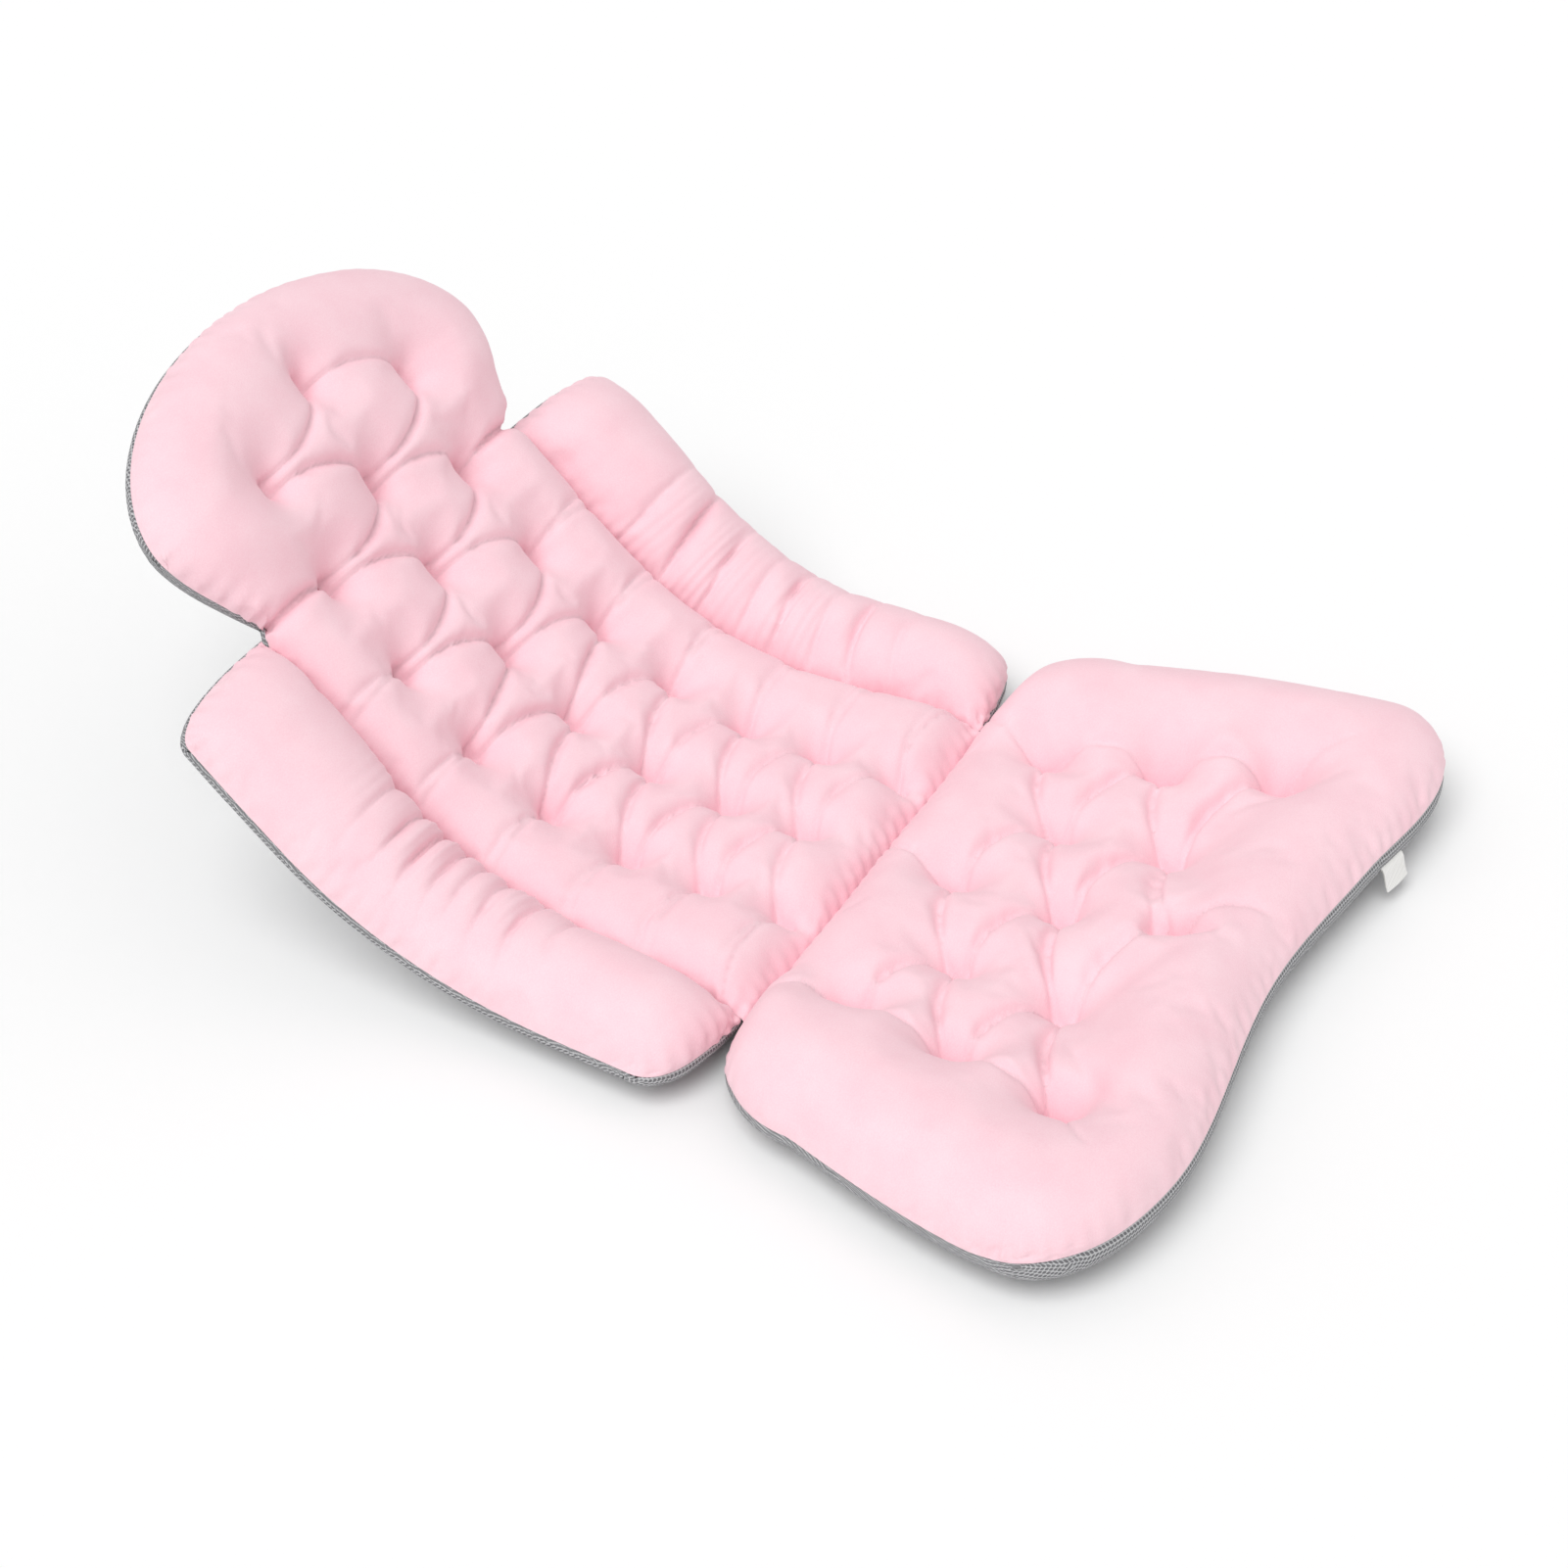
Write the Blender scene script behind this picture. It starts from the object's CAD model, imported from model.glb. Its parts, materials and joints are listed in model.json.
import json
import math

import bpy
import numpy as np
from mathutils import Matrix, Vector


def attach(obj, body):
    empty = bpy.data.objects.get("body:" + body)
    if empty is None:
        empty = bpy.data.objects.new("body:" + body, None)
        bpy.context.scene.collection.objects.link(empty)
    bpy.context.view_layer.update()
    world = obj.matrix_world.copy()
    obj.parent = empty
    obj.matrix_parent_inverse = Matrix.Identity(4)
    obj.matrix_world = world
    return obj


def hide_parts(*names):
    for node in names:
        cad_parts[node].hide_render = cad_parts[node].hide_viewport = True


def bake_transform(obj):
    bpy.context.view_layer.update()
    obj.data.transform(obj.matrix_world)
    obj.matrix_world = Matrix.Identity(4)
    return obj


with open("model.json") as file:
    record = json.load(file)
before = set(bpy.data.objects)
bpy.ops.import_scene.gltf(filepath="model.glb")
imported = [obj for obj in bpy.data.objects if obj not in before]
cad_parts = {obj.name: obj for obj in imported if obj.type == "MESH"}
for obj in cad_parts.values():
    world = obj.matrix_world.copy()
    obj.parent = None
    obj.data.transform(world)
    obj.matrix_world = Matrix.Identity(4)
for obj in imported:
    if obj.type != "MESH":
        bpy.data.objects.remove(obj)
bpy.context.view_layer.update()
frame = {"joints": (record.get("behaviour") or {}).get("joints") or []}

# A millimetre, and one unit of the flat pattern of the mesh, in metres
MM = 0.001
WEAVE_UNIT = 0.1

# Camera of the photograph
CAMERA_AZIMUTH = -60.80
CAMERA_ELEVATION = 37.28
CAMERA_ROLL = -1.07
CAMERA_EYE = (-1.3453, -0.7774, 1.2390)
CAMERA_LENS = 71.95

# Sizes of the pillow in millimetres, those of the part
STAND = 12
TUFT_HEIGHT = 9
FLAT_LENGTH = 90
BEND_RADIUS = 255
BEND_ANGLE = math.radians(45)
BACK_LENGTH = 396
PANEL_HALF_HEAD, PANEL_HALF_SEAT, PANEL_FLARE_POWER = 138, 160, 1.5
BOLSTER_WIDTH, BOLSTER_FLARE = 79, 20
BOLSTER_HEAD_END, BOLSTER_SEAT_END = 394, 2
BOLSTER_HEAD_CORNER, BOLSTER_SEAT_CORNER, BOLSTER_CORNER_POWER = 20, 30, 3
HEAD_LENGTH, NECK_HALF, HEAD_HALF, HEAD_WIDEST_AT, HEAD_TOP_DROP = 166, 131, 164, 78, 96
SEAT_LENGTH, SEAT_HALF_FOLD, SEAT_HALF_HIP, SEAT_HALF_END = 285, 162, 240, 276
SEAT_HIP_AT, SEAT_FLARE_END_AT = 70, 245
SEAT_NOTCH, SEAT_NOTCH_HALF, SEAT_LOBE, SEAT_LOBE_FROM = 18, 190, 24, 120
SEAT_CORNER, SEAT_CORNER_POWER = 66, 5
TUFT_X = 75
TOP_ROW, ROW_STEP, ROW_CLOSING, ROW_COUNT = 392, 35.5, 0.82, 13
BACK_ROWS = [TOP_ROW - ROW_STEP * k + ROW_CLOSING * k * (k - 1) / 2 for k in range(ROW_COUNT)]
SEAT_FIRST_ROW, SEAT_ROW_STEP, SEAT_LAST_ROW = -57, 36.5, -203
SEAT_TUFT_X, SEAT_TUFT_WIDENING = 134, 8
BEND_LINE = (BACK_ROWS[6] + BACK_ROWS[7]) / 2
CUP_PLACES = {
    "seat_cup_%s_front": (150, -215, "seat"), "seat_cup_%s_rear": (150, -70, "seat"),
    "lower_back_cup_%s": (95, 78, "lower_back"), "upper_back_cup_%s": (95, 340, "upper_back"),
    "head_cup_%s": (85, BACK_LENGTH + 88, "head"),
}
TAB_X, TAB_WIDTH = 150, 24

# Heights of the seams and stitches above the underside of the mesh, and gaps beside the seams
RIM_SEAM = 14
CHANNEL_SEAM = 9
TUFT_STITCH = 7
HEAD_STITCH = 25
RIM_INSET = 1.5
SEAM_GAP = 0.2

# Crown of the plump cloth of each section, what it rises by at the rim, head, ring and middle of a bolster,
# and the length in which it rounds up from a seam
SEAT_CROWN, SEAT_RIM_RISE = 35, 22
BACK_CROWN, HEAD_RISE, HEAD_RING_RISE = 34, 14, 4
BOLSTER_CROWN, BOLSTER_RISE = 47, 7
RIM_ROUND, CHANNEL_ROUND, FOLD_ROUND, BOLSTER_END_ROUND = 44, 27, 30, 40

# Cloth: cell of its grid, spare cloth in the tufted middle, at the rim and on a bolster, half length of a tuft
# stitch, and how far the cloth curves down to a tuft or crease, and to a wrinkle of a bolster
CELL = 4.0
SPARE = 0.02
RIM_SPARE = 0.01
BOLSTER_SPARE = 0.015
TUFT_SLIT = 4.5
SEAT_TUFT_REACH, BACK_TUFT_REACH = 14, 11.5
CREASE_REACH = 15
WRINKLE_REACH = 15

# Notch that a crease leaves in the cloth: depth and width of its soft sides and of its sharp bottom
CREASE_NOTCH = ((1.6, 2.9), (2.6, 1.4))

# Mesh: cell of its grid, the round of its rim and how far it bellies out there, the height and length by which
# stitches draw it up at a channel, fold, neck and tuft, and the length that stays flat at a suction cup
MESH_CELL = 7
MESH_ROUND, MESH_BELLY = 13, 2.2
CHANNEL_LIFT, NECK_LIFT, TUFT_LIFT = (4.0, 8), (4.6, 9), (3.2, 11)
FOLD_LIFT_LENGTH, CUP_FLAT = 9, 24

# Webbing patch of a cup: half its side, radius of its hole, its thickness and the line of its stitches
PATCH_HALF, PATCH_HOLE, PATCH_THICK, PATCH_STITCH_LINE = 17, 3.4, 1.5, 14.2

# Length along the back where its cloth is parted, between two rows of tufts
PART_LINE = (BACK_ROWS[2] + BACK_ROWS[3]) / 2

joints = {joint["name"]: joint for joint in frame["joints"]}
FOLD_Y = joints["seat_fold"]["pos_m"][1] / MM

# Height of the seat fold, with the seam of the covers just above it, and how far the cloth beside the fold
# leans away from upright, so that the seat has room to fold up
FOLD_AXIS = joints["seat_fold"]["pos_m"][2] / MM - STAND
FOLD_SEAM = FOLD_AXIS + 0.2
FOLD_LEAN = math.tan(math.radians(joints["seat_fold"]["range_deg"][1] / 2 + 0.5))


def smooth(v, low, high):
    t = np.clip((v - low) / (high - low), 0, 1)
    return t * t * (3 - 2 * t)


def drawn(d, length):
    return np.sin(np.pi / 2 * np.clip(d / length, 0, 1))


def rounded(d, length):
    t = 1 - np.clip(d / length, 0, 1)
    return np.sqrt(1 - t * t)


# Point of the bent pad, in metres, at x across, s along and n above the underside of the mesh.
def bend(x, s, n, share=1.0):
    radius = BEND_RADIUS / share
    slope = np.clip((s - FLAT_LENGTH) / radius, 0, BEND_ANGLE * share)
    reach = radius - (n - TUFT_HEIGHT)
    past = np.maximum(0, s - FLAT_LENGTH - BEND_RADIUS * BEND_ANGLE)
    y = FOLD_Y + np.minimum(s, FLAT_LENGTH) + reach * np.sin(slope) + past * np.cos(slope)
    z = STAND + TUFT_HEIGHT + radius - reach * np.cos(slope) + past * np.sin(slope)
    return np.stack(np.broadcast_arrays(x, y, z), axis=-1) * MM


# Place across, along and above the mesh of points of the bent pad, the other way round.
def unbend(points):
    x, y, z = (points / MM).transpose()
    y = y - FOLD_Y - FLAT_LENGTH
    z = z - STAND - TUFT_HEIGHT - BEND_RADIUS
    slope = np.clip(np.arctan2(y, -z), 0, BEND_ANGLE)
    s = FLAT_LENGTH + BEND_RADIUS * slope + y * np.cos(slope) + z * np.sin(slope)
    n = TUFT_HEIGHT + BEND_RADIUS + z * np.cos(slope) - y * np.sin(slope)
    return x, s, n


def slope_at(s):
    return min(max((s - FLAT_LENGTH) / BEND_RADIUS, 0), BEND_ANGLE)


# Outlines of the sections
def panel_half(s):
    t = np.clip(1 - s / BACK_LENGTH, 0, 1)
    return PANEL_HALF_HEAD + (PANEL_HALF_SEAT - PANEL_HALF_HEAD) * t ** PANEL_FLARE_POWER


def bolster_outer(s):
    return panel_half(s) + BOLSTER_WIDTH + BOLSTER_FLARE * smooth(s, FLAT_LENGTH, BACK_LENGTH)


def head_half(s):
    return NECK_HALF + (HEAD_HALF - NECK_HALF) * drawn(s - BACK_LENGTH, HEAD_WIDEST_AT)


def head_top(a):
    return BACK_LENGTH + HEAD_LENGTH - HEAD_TOP_DROP * (1 - rounded(1 - np.abs(2 * a - 1), 1))


def seat_half(s):
    shoulder = (SEAT_HALF_HIP - SEAT_HALF_FOLD) * rounded(-s, SEAT_HIP_AT)
    flare = (SEAT_HALF_END - SEAT_HALF_HIP) * drawn(-s - SEAT_HIP_AT, SEAT_FLARE_END_AT - SEAT_HIP_AT)
    return SEAT_HALF_FOLD + shoulder + flare


def seat_end(a):
    x = (2 * a - 1) * SEAT_HALF_END
    notch = SEAT_NOTCH * (1 - smooth(np.abs(x), 0, SEAT_NOTCH_HALF))
    lobe = SEAT_LOBE * smooth(x, SEAT_LOBE_FROM, SEAT_HALF_END)
    corner = SEAT_CORNER * (1 - np.sqrt(1 - np.abs(2 * a - 1) ** SEAT_CORNER_POWER))
    return -SEAT_LENGTH + notch - lobe + corner


# Tufts as x, s and the height of the stitch, and the creases that join them
SEAT_TUFTS = []
for k in range(5):
    row, wide = SEAT_FIRST_ROW - SEAT_ROW_STEP * k, SEAT_TUFT_X + SEAT_TUFT_WIDENING * k
    SEAT_TUFTS += [(share * wide, row, TUFT_STITCH) for share in ((-1, 0, 1) if k % 2 == 0 else (-0.5, 0.5))]
BACK_TUFTS = [(0, 423, 14), (-TUFT_X, 461, HEAD_STITCH), (TUFT_X, 461, HEAD_STITCH), (0, 498, HEAD_STITCH)]
for k, row in enumerate(BACK_ROWS):
    BACK_TUFTS += [(x, row, TUFT_STITCH) for x in ((-TUFT_X, TUFT_X) if k % 2 == 0 else (0,))]


# Crease as points with x, s, the height of its stitches and the share of the cloth's height that it takes,
# bowed towards the head by the length given. A crease that runs out in plump cloth fades to its end.
def crease(start, end, depth, bow, fades=False):
    (ax, s_a, n_a), (bx, s_b, n_b) = start, end
    length = math.hypot(bx - ax, s_b - s_a)
    t = np.linspace(0, 1, max(6, round(length / 2)))
    toward = 1 if bx - ax >= 0 else -1
    aside = 4 * bow * t * (1 - t)
    x = ax + (bx - ax) * t + aside * toward * (s_a - s_b) / length
    s = s_a + (s_b - s_a) * t + aside * toward * (bx - ax) / length
    share = depth + (1 - depth) * np.abs(2 * t - 1) ** 6
    if fades:
        share = (depth + (1 - depth) * (1 - t) ** 6) * (1 - 0.9 * t)
    return np.stack([x, s, n_a + (n_b - n_a) * t, share], axis=1)


# Creases from the lower end of each tuft to the upper end of its neighbours on the next row.
def tuft_creases(tufts, depth, bow, reach=105):
    found = []
    for ax, s_a, n_a in tufts:
        for bx, s_b, n_b in tufts:
            if abs(ax - bx) > 30 and s_a - s_b > 15 and math.hypot(ax - bx, s_a - s_b) < reach:
                upper, lower = (ax, s_a - TUFT_SLIT, n_a), (bx, s_b + TUFT_SLIT, n_b)
                found.append(crease(upper, lower, depth(ax, bx - ax), bow(s_a, bx - ax)))
    return found


def back_bow(s, across):
    return 9 if across > 0 else 9 - 18 * float(smooth(s, 230, 350))


def back_depth(x, across):
    return 0.4 if across < 0 else 0.46 if x < 0 else 0.3


SEAT_CREASES = tuft_creases(SEAT_TUFTS, lambda x, across: 0.52, lambda s, across: 10)
BACK_CREASES = tuft_creases(BACK_TUFTS, back_depth, back_bow)
for side in (-1, 1):
    first, middle, last = (SEAT_TUFTS[k + side] for k in (1, 6, 11))
    SEAT_CREASES += [
        crease(first, middle, 0.36, 5), crease(middle, last, 0.36, 5),
        crease(first, (side * 152, -6, FOLD_SEAM), 0.4, 5, True), crease(last, (side * 206, -234, 30), 0.4, 3, True),
    ]
    neck = (side * NECK_HALF, BACK_LENGTH, CHANNEL_SEAM)
    BACK_CREASES.append(crease((side * TUFT_X, BACK_ROWS[0], TUFT_STITCH), neck, 0.6, 4))
    for row in BACK_ROWS[2::2]:
        tuft, edge = (side * TUFT_X, row, TUFT_STITCH), side * (float(panel_half(np.array(row))) - 1)
        for shift, depth in ((7, 0.22), (-3, 0.18)):
            BACK_CREASES.append(crease(tuft, (edge, row + shift, CHANNEL_SEAM), depth, 5, True))
SEAT_CREASES.append(crease(SEAT_TUFTS[1], (16, -5, FOLD_SEAM), 0.4, 5, True))
SEAT_CREASES.append(crease(SEAT_TUFTS[11], (28, -250, 30), 0.45, 6, True))
SEAT_SLITS = [crease((x, s - TUFT_SLIT, n), (x, s + TUFT_SLIT, n), 1, 0) for x, s, n in SEAT_TUFTS]
BACK_SLITS = [crease((x, s - TUFT_SLIT, n), (x, s + TUFT_SLIT, n), 1, 0) for x, s, n in BACK_TUFTS]

# Wrinkles across each bolster, as a row of tufts beside which each lies, its depth and its lean
WRINKLES = {
    "right": [(3.5, 0.12, 4), (4.3, 0.2, 3), (4.9, 0.34, 0), (5.5, 0.26, -4), (6.1, 0.16, -2), (6.7, 0.22, -6),
              (7.6, 0.15, -5), (8.6, 0.1, -6)],
    "left": [(2.9, 0.1, 2), (4.1, 0.42, 12), (5.2, 0.24, 8), (6.2, 0.12, 4), (7.1, 0.26, 8), (8.1, 0.12, 4),
             (9.1, 0.28, 6), (10.2, 0.1, 3)],
}


def bolster_creases(hand):
    side = 1 if hand == "left" else -1
    found = []
    for row, depth, lean in WRINKLES[hand]:
        s = float(np.interp(row, range(ROW_COUNT), BACK_ROWS))
        inner, outer = float(panel_half(np.array(s))) + 3, float(bolster_outer(np.array(s))) - 12
        line = crease((side * inner, s, CHANNEL_SEAM), (side * outer, s + lean, RIM_SEAM), depth, 4)
        out = np.linspace(0, 1, len(line))
        line[:, 3] = depth * smooth(out, -0.25, 0.15) * smooth(1 - out, 0, 0.5)
        found.append(line)
    return found


# Share of the drop at a distance from a crease, which has round shoulders, and from a tuft, which draws in a
# funnel.
def shoulders(d, reach):
    return 1 - rounded(d, reach)


def funnel(d, reach):
    return np.exp(-(d / reach) ** 1.15)


# Height of the cloth, drawn down to the lines given.
def drawn_down(x, s, plump, lines, form, reach):
    drop = np.zeros(x.shape)
    for px, ps, pn, share in np.concatenate(lines):
        drop = np.maximum(drop, share * (plump - pn) * form(np.hypot(x - px, s - ps), reach))
    return plump - drop


# Steps from 0 to 1 that are even along a curve through the places and heights given.
def even_steps(place, height, cell):
    share = np.linspace(0, 1, len(place))
    run = np.concatenate([[0], np.cumsum(np.hypot(np.diff(place), np.diff(height)))])
    count = round(run[-1] / cell)
    return np.interp(np.linspace(0, run[-1], count + 1), run, share)


def dense(x, s, step=2.0):
    run = np.concatenate([[0], np.cumsum(np.hypot(np.diff(x), np.diff(s)))])
    at = np.arange(0, run[-1] + step, step)
    return np.stack([np.interp(at, run, x), np.interp(at, run, s)], axis=1)


# Distance from each point to a line, the number of its nearest point and the foot on the line.
def nearest_on(line, x, s):
    best, index = np.full(x.shape, np.inf), np.zeros(x.shape, int)
    for k, (px, ps) in enumerate(line):
        d = np.hypot(x - px, s - ps)
        closer = d < best
        best[closer], index[closer] = d[closer], k
    line = np.asarray(line)
    foot = line[index]
    for step in (-1, 1):
        leg = line[np.clip(index + step, 0, len(line) - 1)] - line[index]
        away = np.stack([x, s], axis=-1) - line[index]
        length = (leg ** 2).sum(axis=-1)
        t = np.clip((away * leg).sum(axis=-1) / np.maximum(length, 1e-9), 0, 1)
        between = np.linalg.norm(away - leg * t[..., None], axis=-1)
        closer = (length < 16) & (between < best)
        best = np.where(closer, between, best)
        foot = np.where(closer[..., None], line[index] + leg * t[..., None], foot)
    return best, index, foot


def grid_faces(rows, columns):
    j, i = np.meshgrid(np.arange(rows - 1), np.arange(columns - 1), indexing="ij")
    first = (j * columns + i).ravel()
    return np.stack([first, first + 1, first + columns + 1, first + columns], axis=1)


# Flat layout of each section: x and s of a grid whose cells are about even over the plump form, and its seams.
def seat_layout(cell, inset):
    rise, round_over, middle = 52, 42, -150.0
    t = np.linspace(0, 1, 801)
    half = seat_half(np.array(middle)) - inset
    across_x = (2 * t - 1) * half
    across = even_steps(across_x, rise * rounded(half - np.abs(across_x), round_over), cell)
    middle_s = (seat_end(np.array(0.5)) + inset) * (1 - t)
    along_rise = rise * rounded(middle_s - middle_s[0], round_over) * drawn(-middle_s, FOLD_ROUND)
    along = even_steps(middle_s, along_rise, cell)
    a, b = np.meshgrid(across, along)
    low = seat_end(a) + inset
    s = low + (-SEAM_GAP - low) * b
    x = (2 * a - 1) * (seat_half(s) - inset)
    rim = []
    for side in (-1, 1):
        edge_s = np.linspace(-SEAM_GAP, seat_end(np.array(0.5 + side / 2)) + inset, 600)
        rim.append(dense(side * (seat_half(edge_s) - inset), edge_s))
    end_a = np.linspace(0, 1, 1201)
    end_s = seat_end(end_a) + inset
    rim.insert(1, dense((2 * end_a - 1) * (seat_half(end_s) - inset), end_s))
    return {"x": x, "s": s, "rim": np.concatenate(rim), "folds": True}


def back_layout(cell, inset):
    half_width, rise, round_over = 150, 42, 36
    panel_rise, panel_round, head_rise, head_round = 32, 34, 52, 42
    t = np.linspace(0, 1, 801)
    across_x = (2 * t - 1) * half_width
    across = even_steps(across_x, rise * rounded(half_width - np.abs(across_x), round_over), cell)
    panel_s = np.linspace(SEAM_GAP, BACK_LENGTH, 801)
    low = even_steps(panel_s, panel_rise * drawn(panel_s, panel_round), cell * 0.95)
    top = HEAD_LENGTH - inset
    head_s = np.linspace(0, top, 801)
    high = even_steps(head_s, head_rise * rounded(top - head_s, head_round), cell * 0.9)
    a_low, b_low = np.meshgrid(across, low)
    a_high, b_high = np.meshgrid(across, high[1:])
    s_low = SEAM_GAP + (BACK_LENGTH - SEAM_GAP) * b_low
    s_high = BACK_LENGTH + (head_top(a_high) - inset - BACK_LENGTH) * b_high
    a, s = np.concatenate([a_low, a_high]), np.concatenate([s_low, s_high])
    on_head = smooth(s, BACK_LENGTH - 16, BACK_LENGTH + 10)
    half = (panel_half(s) - SEAM_GAP) * (1 - on_head) + (head_half(s) - inset) * on_head
    x = (2 * a - 1) * half
    line_s = np.linspace(0, BACK_LENGTH, 400)
    channel = np.concatenate([dense(side * panel_half(line_s), line_s) for side in (-1, 1)])
    side_s = np.linspace(BACK_LENGTH, head_top(np.array(0.0)) - inset, 200)
    top_a = np.linspace(0, 1, 1201)
    top_s = head_top(top_a) - inset
    side_x = head_half(side_s) - inset
    rim = [dense(-side_x, side_s), dense((2 * top_a - 1) * (head_half(top_s) - inset), top_s), dense(side_x, side_s)]
    return {"x": x, "s": s, "half": half, "rim": np.concatenate(rim), "channel": channel, "folds": True}


def bolster_layout(cell, inset, side):
    width, rise, round_over, channel_round, end_round = 82, 50, 40, 30, 48
    t = np.linspace(0, 1, 801)
    across_x = t * width
    across_rise = rise * rounded(width - across_x, round_over) * drawn(across_x, channel_round)
    across = even_steps(across_x, across_rise, cell)
    seat_stop, head_stop = BOLSTER_SEAT_END + inset, BOLSTER_HEAD_END - inset
    middle_s = seat_stop + (head_stop - seat_stop) * t
    ends = np.minimum(middle_s - seat_stop, head_stop - middle_s)
    along = even_steps(middle_s, rise * rounded(ends, end_round), cell * 0.85)
    a, b = np.meshgrid(across, along)

    def corner(share):
        return 1 - np.sqrt(1 - share ** BOLSTER_CORNER_POWER)

    low = seat_stop + BOLSTER_SEAT_CORNER * corner(a)
    high = head_stop - BOLSTER_HEAD_CORNER * corner(a)
    s = low + (high - low) * b
    inner = panel_half(s) + SEAM_GAP
    x = inner + (bolster_outer(s) - inset - inner) * a
    line_s = np.linspace(seat_stop, head_stop, 400)
    rim_a = np.linspace(0, 1, 400)
    low_s = seat_stop + BOLSTER_SEAT_CORNER * corner(rim_a)
    high_s = head_stop - BOLSTER_HEAD_CORNER * corner(rim_a)
    outer_s = np.linspace(low_s[-1], high_s[-1], 400)

    def out(share, at):
        return panel_half(at) + (bolster_outer(at) - inset - panel_half(at)) * share

    rim = np.concatenate([dense(out(rim_a, low_s), low_s), dense(out(1, outer_s), outer_s),
                          dense(out(rim_a, high_s), high_s)[::-1]])
    mirror = np.array([side, 1])
    channel = dense(panel_half(line_s), line_s)
    return {"x": x * side, "s": s, "out": a, "ends": np.minimum(s - low, high - s), "rim": rim * mirror,
            "channel": channel * mirror}


def layout(section, cell, inset):
    if section == "seat":
        return seat_layout(cell, inset)
    if section == "back":
        return back_layout(cell, inset)
    return bolster_layout(cell, inset, 1 if section == "left" else -1)


# Cloth sewn at its seams and tufts. Pinned points keep to their stitches, and the pressure of the filling swells
# the spare cloth between them.
def sewn_cloth(start, faces, pinned, spare, frames=26, pressure=7.0, bending=0.8):
    origin = np.array([0, 0, start[:, 2].max() + 0.5])
    mesh = bpy.data.meshes.new("cut_cloth")
    mesh.from_pydata((start - origin).tolist(), [], faces.tolist())
    cloth_piece = bpy.data.objects.new("cut_cloth", mesh)
    bpy.context.scene.collection.objects.link(cloth_piece)
    cloth_piece.location = origin
    cloth_piece.vertex_groups.new(name="stitched").add(pinned.tolist(), 1.0, "REPLACE")
    tight = cloth_piece.vertex_groups.new(name="tight")
    for k, share in enumerate(1 - spare / spare.max()):
        tight.add([k], share, "REPLACE")
    cloth = cloth_piece.modifiers.new("cloth", "CLOTH")
    values = {
        "quality": 6, "mass": 0.3, "air_damping": 2.0, "tension_stiffness": 20, "compression_stiffness": 20,
        "shear_stiffness": 6, "bending_stiffness": bending, "tension_damping": 10, "compression_damping": 10,
        "shear_damping": 8, "bending_damping": 1.0, "vertex_group_mass": "stitched",
        "vertex_group_shrink": "tight", "shrink_min": -spare.max(), "shrink_max": 0.0,
        "use_pressure": True, "uniform_pressure_force": pressure,
    }
    for name, value in values.items():
        setattr(cloth.settings, name, value)
    cloth.settings.effector_weights.gravity = 0
    cloth.collision_settings.use_collision = False
    cloth.point_cache.frame_start, cloth.point_cache.frame_end = 1, frames
    for step in range(1, frames + 1):
        bpy.context.scene.frame_set(step)
    shaped = cloth_piece.evaluated_get(bpy.context.evaluated_depsgraph_get())
    points = np.empty(len(start) * 3)
    shaped.data.vertices.foreach_get("co", points)
    bpy.data.objects.remove(cloth_piece)
    bpy.data.meshes.remove(mesh)
    bpy.context.scene.frame_set(1)
    return points.reshape(-1, 3) + origin


def new_piece(name, points, faces, normals=None):
    mesh = bpy.data.meshes.new(name)
    mesh.from_pydata(np.asarray(points).tolist(), [], [[int(k) for k in face] for face in faces])
    mesh.polygons.foreach_set("use_smooth", [True] * len(mesh.polygons))
    if normals is not None:
        mesh.normals_split_custom_set_from_vertices(np.asarray(normals).tolist())
    piece = bpy.data.objects.new(name, mesh)
    bpy.context.scene.collection.objects.link(piece)
    return piece


# Points, normals and faces of a surface after one subdivision.
def refined(points, faces):
    rough = new_piece("rough", points, faces)
    rough.modifiers.new("finer", "SUBSURF").levels = 1
    mesh = bpy.data.meshes.new_from_object(rough.evaluated_get(bpy.context.evaluated_depsgraph_get()))
    points, normals = np.empty(len(mesh.vertices) * 3), np.empty(len(mesh.vertices) * 3)
    corners = np.empty(len(mesh.loops), dtype=np.int32)
    mesh.vertices.foreach_get("co", points)
    mesh.vertex_normals.foreach_get("vector", normals)
    mesh.loops.foreach_get("vertex_index", corners)
    coarse = rough.data
    bpy.data.objects.remove(rough)
    bpy.data.meshes.remove(coarse)
    bpy.data.meshes.remove(mesh)
    return points.reshape(-1, 3), normals.reshape(-1, 3), corners.reshape(-1, 4)


# Small gathers that the stitches of a seam pull into the cloth beside it.
def gathers(d, run, height, reach, wave):
    ripple = np.sin(2 * np.pi * run / wave + 1.4 * np.sin(run / 23)) * (0.7 + 0.3 * np.sin(run / 37 + 1))
    return height * np.exp(-(d / reach) ** 2) * (1 - np.exp(-(d / 2.0) ** 2)) * ripple


# Keeps the cloth of a section on its own side of the seams and of the seat fold.
def keep_apart(x, s, n, section):
    beside_fold = SEAM_GAP + FOLD_LEAN * np.maximum(0, n - FOLD_AXIS - SEAM_GAP)
    if section == "seat":
        s = np.minimum(s, -beside_fold)
    elif section == "back":
        beside = (s < BACK_LENGTH - 4) & (s > 0)
        limit = panel_half(s) - SEAM_GAP
        x = np.where(beside, np.clip(x, -limit, limit), x)
        s = np.maximum(s, beside_fold)
        s = np.where((np.abs(x) > limit) & (s > BACK_LENGTH - 4), np.maximum(s, BACK_LENGTH + SEAM_GAP), s)
    else:
        side = 1 if section == "left" else -1
        x = side * np.maximum(side * x, panel_half(s) + SEAM_GAP)
        s = np.clip(s, beside_fold, BACK_LENGTH - SEAM_GAP)
    return x, s, n


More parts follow.
